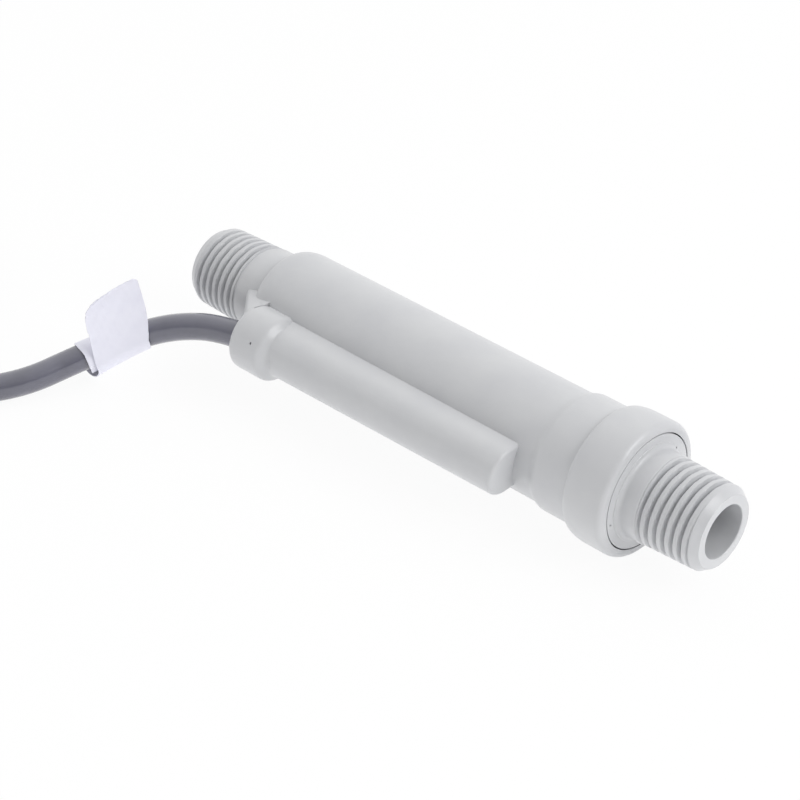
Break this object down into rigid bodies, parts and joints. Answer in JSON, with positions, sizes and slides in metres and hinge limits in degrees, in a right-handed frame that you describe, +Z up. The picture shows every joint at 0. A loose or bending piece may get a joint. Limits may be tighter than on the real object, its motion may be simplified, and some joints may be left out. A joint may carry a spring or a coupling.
{
  "type": "piston flow sensor",
  "caption": "In-line piston flow sensor: moulded tube with threaded ports, spring-loaded magnet piston inside, a potted reed switch bar along its flank and a coiled cable lead.",
  "frame": {"origin": "centre of the inlet port's end face, on the flow axis", "axes": "+X along the flow from inlet to outlet, -Y towards the reed bar, +Z up as it lies on a table"},
  "size_m": [0.1834, 0.0725, 0.0212],
  "materials": {
    "housing_plastic": "moulded satin",
    "seal_rubber": "smooth",
    "piston_plastic": "moulded satin",
    "magnet_ferrite": "ground",
    "spring_steel": "drawn",
    "reed_glass": "clear",
    "reed_metal": "plated",
    "splice_metal": "tinned",
    "black_insulation": "smooth",
    "white_insulation": "smooth",
    "potting_resin": "cast",
    "cable_jacket": "extruded satin",
    "tag_film": "satin film",
    "tie_plastic": "moulded satin",
    "tinned_copper": "tinned strands"
  },
  "bodies": {
    "sensor_body": {"main_housing": "housing_plastic", "outlet_fitting": "housing_plastic", "outlet_o_ring": "seal_rubber", "return_spring": "spring_steel", "reed_capsule": "reed_glass", "reed_blade_front": "reed_metal", "reed_blade_rear": "reed_metal", "splice_sleeve_front": "splice_metal", "splice_sleeve_rear": "splice_metal", "inner_wire_front": "black_insulation", "inner_wire_rear": "white_insulation", "potting_plug": "potting_resin", "cable_lead": "cable_jacket", "cable_tag": "tag_film", "cable_coil": "cable_jacket", "coil_tie": "tie_plastic", "cable_tail": "cable_jacket", "lead_wire_black": "black_insulation", "lead_wire_white": "white_insulation", "lead_tip_black": "tinned_copper", "lead_tip_white": "tinned_copper"},
    "shuttle": {"piston": "piston_plastic", "piston_magnet": "magnet_ferrite", "magnet_cap": "piston_plastic"}
  },
  "joints": [
    {"name": "piston_slide", "type": "slide", "parent": "sensor_body", "child": "shuttle", "axis": [1, 0, 0], "range_m": [0, 0.009], "stiffness_N_per_m": 140, "springref_m": -0.002, "deforming": ["return_spring"]}
  ]
}
